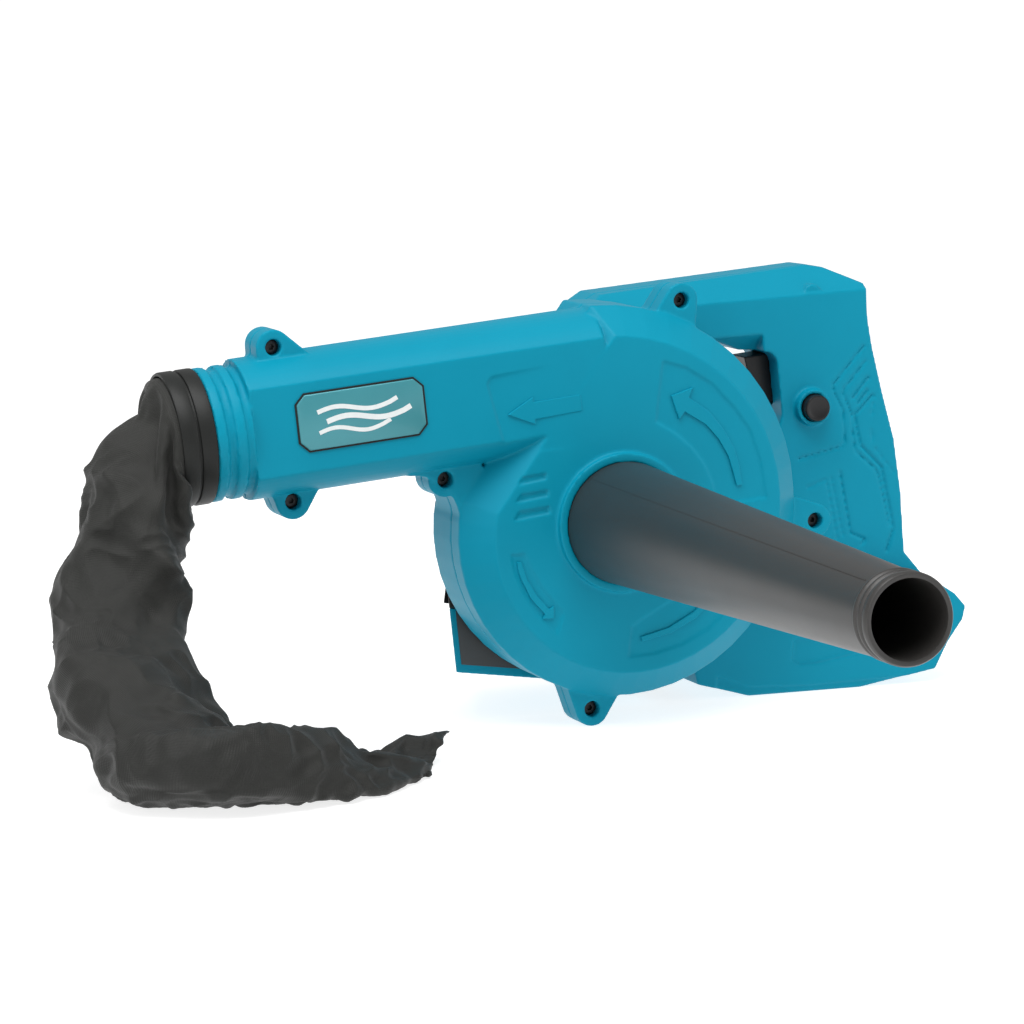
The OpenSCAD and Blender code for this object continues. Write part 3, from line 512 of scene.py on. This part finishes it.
def bag_mesh():
    stations = [Vector(s) for s in (NECK, *ROUTE)]
    spots = [between(stations, i / (RINGS - 1)) for i in range(RINGS)]
    centres = [Vector(s[:3]) for s in spots]
    points, lengths, run = [], [], 0
    for i, (centre, spot) in enumerate(zip(centres, spots)):
        run += (centre - centres[max(i - 1, 0)]).length / 1000
        lengths.append(run)
        heading = (centres[min(i + 1, RINGS - 1)] - centres[max(i - 1, 0)]).normalized()
        heading = (-ALONG).lerp(heading, min(1, i / 9)).normalized()
        side = Vector((0.3, -0.3, -1)).cross(heading).normalized()
        rise = heading.cross(side)
        loose = min(1, i / 14) * min(1, (RINGS - 1 - i) / 6)
        for k in range(SIDES):
            turn = math.tau * k / SIDES
            fold = panels(turn, run, 6, 0.046, 3.5)
            crease = panels(-turn, run, 11, 0.019, 8.5)
            size = 1.08 - loose * (0.36 * fold + 0.14 * crease) - 0.08 * (1 - loose)
            offset = (side * spot[3] * math.cos(turn) + rise * spot[4] * math.sin(turn)) * size
            x, y, z = centre + offset
            points.append(bag_point(x, y, max(z, 0.8)))
    faces = [(i * SIDES + k, i * SIDES + (k + 1) % SIDES, (i + 1) * SIDES + (k + 1) % SIDES,
              (i + 1) * SIDES + k) for i in range(RINGS - 1) for k in range(SIDES)]
    for start in (0, (RINGS - 1) * SIDES):
        faces += [(start + k, start + k + 1, start + SIDES - k - 1, start + (SIDES - k) % SIDES)
                  for k in range(1, SIDES // 2 - 1)]
        faces += [(start, start + 1, start + SIDES - 1),
                  (start + SIDES // 2 - 1, start + SIDES // 2, start + SIDES // 2 + 1)]
    mesh = bpy.data.meshes.new("dust_bag_cloth")
    mesh.from_pydata(points, [], faces)
    thread = mesh.uv_layers.new(name="thread")
    for polygon in mesh.polygons:
        wraps = len({mesh.loops[n].vertex_index % SIDES for n in polygon.loop_indices}
                    & {0, SIDES - 1}) == 2
        for n in polygon.loop_indices:
            ring, k = divmod(mesh.loops[n].vertex_index, SIDES)
            around = SIDES if wraps and k == 0 else k
            thread.data[n].uv = (around / SIDES * 0.19, lengths[ring])
    piece = bpy.data.objects.new("dust_bag_cloth", mesh)
    bpy.context.collection.objects.link(piece)
    return edit(piece, outwards)


def crumple(piece, frames=14):
    """Lets the cloth, cut larger than its route, sag and fold over the floor."""
    pins = piece.vertex_groups.new(name="pins")
    for i in range(RINGS):
        hold = 1.0 if i < 4 else 0.05 if i < RINGS - 5 else 0.25
        pins.add(list(range(i * SIDES, (i + 1) * SIDES)), hold, "REPLACE")
    bpy.ops.mesh.primitive_plane_add(size=3, location=(0, 0, -0.0005))
    ground = bpy.context.object
    ground.modifiers.new("collision", "COLLISION")
    ground.collision.thickness_outer = 0.001
    ground.collision.cloth_friction = 20
    cloth = piece.modifiers.new("cloth", "CLOTH")
    cloth.settings.quality = 6
    cloth.settings.mass = 0.1
    cloth.settings.tension_stiffness = cloth.settings.compression_stiffness = 14
    cloth.settings.shear_stiffness = 4
    cloth.settings.bending_stiffness = 0.12
    cloth.settings.air_damping = 2
    cloth.settings.shrink_min = -0.03
    cloth.settings.use_pressure = True
    cloth.settings.uniform_pressure_force = 0.04
    cloth.settings.vertex_group_mass = "pins"
    cloth.settings.pin_stiffness = 0.6
    cloth.collision_settings.distance_min = 0.001
    cloth.point_cache.frame_end = frames
    start = [v.co.copy() for v in piece.data.vertices]
    for frame_number in range(1, frames + 1):
        bpy.context.scene.frame_set(frame_number)
    only(piece)
    bpy.ops.object.modifier_apply(modifier=cloth.name)
    bpy.context.scene.frame_set(1)
    remove(ground)
    for vertex, was in zip(piece.data.vertices, start):
        move = vertex.co - was
        if move.length > 0.016:
            vertex.co = was + move * (0.016 / move.length)
        vertex.co.z = max(vertex.co.z, 0.0006)
    return piece


def pucker(piece):
    """Presses sharp creases into the cloth, finer ones across the broad ones."""
    normals = [v.normal.copy() for v in piece.data.vertices]
    for vertex, normal in zip(piece.data.vertices, normals):
        spot = vertex.co
        free = max(0, min(1, (at(-206, 0, 0).x - spot.x) / 0.03 + 2.2 * (0.13 - spot.z) / 0.03))
        fold = 0
        for size, deep in ((30, 0.0032), (70, 0.0016)):
            bent = spot * size + noise.noise_vector(spot * size * 0.4) * 1.4
            fold += deep * (0.45 - 2 * abs(noise.noise(bent)))
        vertex.co = spot + normal * fold * free
        vertex.co.z = max(vertex.co.z, 0.0006)


weave = Finish("bag_cloth", Sheen_Weight=0.08, Sheen_Roughness=0.4, Specular_IOR_Level=0.3)
strand = weave.node("UVMap", {"uv_map": "thread"})
warp = weave.node("TexWave", {"bands_direction": "X"}, {"Vector": strand, "Scale": 420.0})
weft = weave.node("TexWave", {"bands_direction": "Y"}, {"Vector": strand, "Scale": 420.0})
crumb = weave.noise(38, 5)
dust = weave.noise(7, 3)
bag_cloth = weave.surface(
    weave.blend(dust * 0.6 + crumb * 0.4, (0.009, 0.0095, 0.0085), (0.021, 0.0215, 0.019)),
    crumb * 0.18 + 0.5, warp * 0.5 + weft * 0.5 + crumb * 0.6, 0.35, 0.0006)

bag = bag_mesh()
crumple(bag)
apply(bag, "SUBSURF", levels=2, render_levels=2)
pucker(bag)
smooth(bag, 80)
finish_piece(bag, bag_cloth, "bag", "bag_fabric", "dust_bag")

# Badge -------------------------------------------------------------------------------------
# A grey-green plate let into the duct's flat, with a bright bevelled edge. It carries plain
# streams of air in white in place of any name.

BADGE = [(4, 0), (55, 0), (59, 4), (59, 21), (55, 25), (4, 25), (0, 21), (0, 4)]


def on_badge(points):
    return [(-148 + x, 55 + z) for x, z in points]


badge_paint = Finish("badge_paint", Metallic=0.25, Coat_Weight=0.3, Coat_Roughness=0.15)
sheen = badge_paint.noise(30, 4)
badge_green = badge_paint.surface(
    badge_paint.blend(sheen, (0.03, 0.21, 0.25), (0.05, 0.27, 0.31)), sheen * 0.15 + 0.3,
    badge_paint.noise(900, 2), 0.08, 0.0001)
badge = plate("badge_face", on_badge(BADGE), 1.95, FACE + 0.2)
apply(badge, "BEVEL", width=0.0006, segments=3, limit_method="ANGLE")
finish_piece(smooth(badge), badge_green, "tool", "badge_coat", "badge_plate")
rim_inside = [(4.4, 1), (54.6, 1), (58, 4.4), (58, 20.6), (54.6, 24), (4.4, 24), (1, 20.6),
              (1, 4.4)]
rim_outside = [(3.7, -0.8), (55.3, -0.8), (59.8, 3.7), (59.8, 21.3), (55.3, 25.8), (3.7, 25.8),
               (-0.8, 21.3), (-0.8, 3.7)]
rim = plate("badge_rim", on_badge(rim_outside), 2.5, FACE + 0.4)
apply(rim, "BOOLEAN", operation="DIFFERENCE", solver="EXACT",
      object=(hole := plate("hole", on_badge(rim_inside), 0, 8)))
remove(hole)
finish_piece(rim, black, "tool", "black_plastic")

ink = Finish("badge_ink")
speckle = ink.noise(400, 2)
white_ink = ink.surface(ink.blend(speckle, (0.62, 0.66, 0.66), (0.74, 0.77, 0.77)), 0.45)
streams = []
for start, length, rise, thick in ((9, 34, 16.5, 2.0), (13, 36, 11.8, 2.4), (9, 30, 7.2, 1.8)):
    wave = [(start + length * s / 16, rise + 1.5 * math.sin(math.tau * s / 16))
            for s in range(17)]
    tail = [(start + length + 1.2 * s, rise + 0.5 * s) for s in (1, 2, 3)]
    streams.append(plate("air_stream", stroke(on_badge(wave + tail), thick), 1.82, 2.2))
only(streams[0])
for stream in streams[1:]:
    stream.select_set(True)
bpy.ops.object.join()
finish_piece(streams[0], white_ink, "tool", "badge_coat")

# Screws ------------------------------------------------------------------------------------
# Black oxide steel screws with a six-lobed recess, sunk in the lugs and in the handle's back.

oxide = Finish("black_oxide", Metallic=0.85)
turned = oxide.noise(700, 3)
black_oxide = oxide.surface(oxide.blend(turned, (0.02, 0.02, 0.021), (0.05, 0.05, 0.052)),
                            turned * 0.2 + 0.32, turned, 0.2, 0.00008)
SCREW = [(0, 0), (2.2, 0.02), (3.0, 0.2), (3.3, 0.6), (3.4, 1.0), (3.4, 2.6), (1.75, 2.6),
         (1.75, 11.6), (1.3, 12.6), (0, 12.6)]
HEXALOBE = [((1.55 - 0.32 * (k % 2)) * math.cos(math.tau * k / 12),
             (1.55 - 0.32 * (k % 2)) * math.sin(math.tau * k / 12)) for k in range(12)]


def screws(name, places, depth, facing, length, node):
    """One screw is turned and its recess cut, then it is copied to every place."""
    profile = [(r, depth + facing * (d if d < 3 else d - 12.6 + 2.6 + length)) for r, d in SCREW]
    first = lathe(name, profile, *places[0], steps=32)
    tool = plate("recess", [(places[0][0] + x, places[0][1] + z) for x, z in HEXALOBE],
                 depth - 2, depth + 2)
    apply(first, "BOOLEAN", operation="DIFFERENCE", solver="EXACT", object=tool)
    remove(tool)
    copies = []
    for x, z in places[1:]:
        copy = first.copy()
        copy.data = first.data.copy()
        bpy.context.collection.objects.link(copy)
        shift = at(x, 0, z) - at(places[0][0], 0, places[0][1])
        for vertex in copy.data.vertices:
            vertex.co += shift
        copies.append(copy)
    only(first)
    for copy in copies:
        copy.select_set(True)
    bpy.ops.object.join()
    return finish_piece(smooth(first, 40), black_oxide, "tool", "black_steel", node)


LUGS = [(-151, 101), (-150, 31), (-78, 30), (45, 95), (101, -17), (-19, -87)]
screws("cover_screws", LUGS, 22.4, 1, 10, "shell_screws")
screws("handle_screws", [(31, 82), (134, 82), (155, 5), (84, -95), (160, -88)], 109.6, -1, 23,
       "grip_screws")

# Buttons and trigger -----------------------------------------------------------------------
# The lock button is a black plunger with a dished top in a teal collar; the trigger is a
# black lever in the finger gap; the pack's latch is pressed down to free it.

BUTTON = [(0, 63.7), (3.2, 63.6), (4.9, 63.25), (5.5, 63.05), (6.0, 63.15), (6.3, 63.6),
          (6.4, 64.4), (6.4, 79.6), (6.2, 80), (0, 80)]
finish_piece(smooth(lathe("lock_plunger", BUTTON, 127, 28, steps=64), 40), button_black, "lock",
             "trigger_plastic", "lock_button")
finish_piece(moulding("trigger_lever", "trigger", 0.4, ratio=0.4, softness=5), button_black,
             "trigger_body", "trigger_plastic", "trigger")
finish_piece(moulding("pack_latch", "battery_latch", 0.4, ratio=0.4, softness=5), button_black,
             "latch", "trigger_plastic", "battery_latch")

# Inside and the rest -----------------------------------------------------------------------
# The fan, motor, switch, board, leads and cells keep their turned and stamped shapes.


def metal(name, dark, light, rough, scale=260):
    mix = Finish(name, Metallic=1.0)
    lay = mix.noise(scale, 4, (1, 8, 1))
    patch = mix.noise(40, 3)
    return mix.surface(mix.blend(patch, dark, light), lay * 0.25 + rough, lay, 0.15, 0.00006)


def sleeve(name, dark, light, rough, grain=1500):
    mix = Finish(name)
    patch = mix.noise(90, 4)
    return mix.surface(mix.blend(patch, dark, light), patch * 0.15 + rough,
                       mix.noise(grain, 2), 0.15, 0.0001)


steel = metal("bright_steel", (0.42, 0.42, 0.43), (0.6, 0.6, 0.61), 0.2)
laminated = metal("core_laminations", (0.16, 0.13, 0.1), (0.3, 0.24, 0.18), 0.35, 900)
copper = metal("turned_copper", (0.5, 0.23, 0.1), (0.7, 0.36, 0.18), 0.22)
brass = metal("brass_strip", (0.55, 0.4, 0.16), (0.74, 0.56, 0.26), 0.22)
ferrite = sleeve("ferrite", (0.03, 0.03, 0.032), (0.06, 0.06, 0.06), 0.55)
carbon = sleeve("carbon", (0.015, 0.015, 0.016), (0.035, 0.035, 0.035), 0.5)
red = sleeve("red_insulation", (0.35, 0.01, 0.01), (0.45, 0.02, 0.015), 0.35)
dark_lead = sleeve("black_insulation", (0.01, 0.01, 0.01), (0.02, 0.02, 0.02), 0.35)
wrap = sleeve("cell_film", (0.03, 0.09, 0.3), (0.05, 0.13, 0.4), 0.2)
film = sleeve("label_film", (0.028, 0.03, 0.031), (0.04, 0.042, 0.043), 0.34, 900)
board = Finish("board_mask", Coat_Weight=0.4)
tracks = board.node("TexBrick", None, {"Vector": board.place(), "Scale": 300.0,
                                       "Color1": (0.004, 0.09, 0.035, 1),
                                       "Color2": (0.008, 0.13, 0.05, 1),
                                       "Mortar": (0.02, 0.2, 0.08, 1)})
green_board = board.surface(tracks, board.noise(200) * 0.2 + 0.25, board.noise(1400), 0.1, 0.0001)

FINISHES = {
    black: ("fan_wheel", "motor_end_cap", "switch_body", "terminal_block"),
    steel: ("wheel_washer", "wheel_nut", "motor_shaft", "front_bearing", "rear_bearing",
            "motor_can", "trigger_spring", "lock_spring", "latch_spring"),
    laminated: ("armature",), copper: ("commutator",), brass: ("battery_contacts",),
    ferrite: ("motor_magnets",), carbon: ("motor_brushes",), red: ("battery_leads",),
    dark_lead: ("motor_leads",), wrap: ("battery_cells",), film: ("battery_label",),
    black_oxide: ("motor_screws", "battery_screws"), green_board: ("control_board",)}
for material, nodes in FINISHES.items():
    for node in nodes:
        mesh = frame["nodes"][node].data
        mesh.materials.clear()
        mesh.materials.append(material)
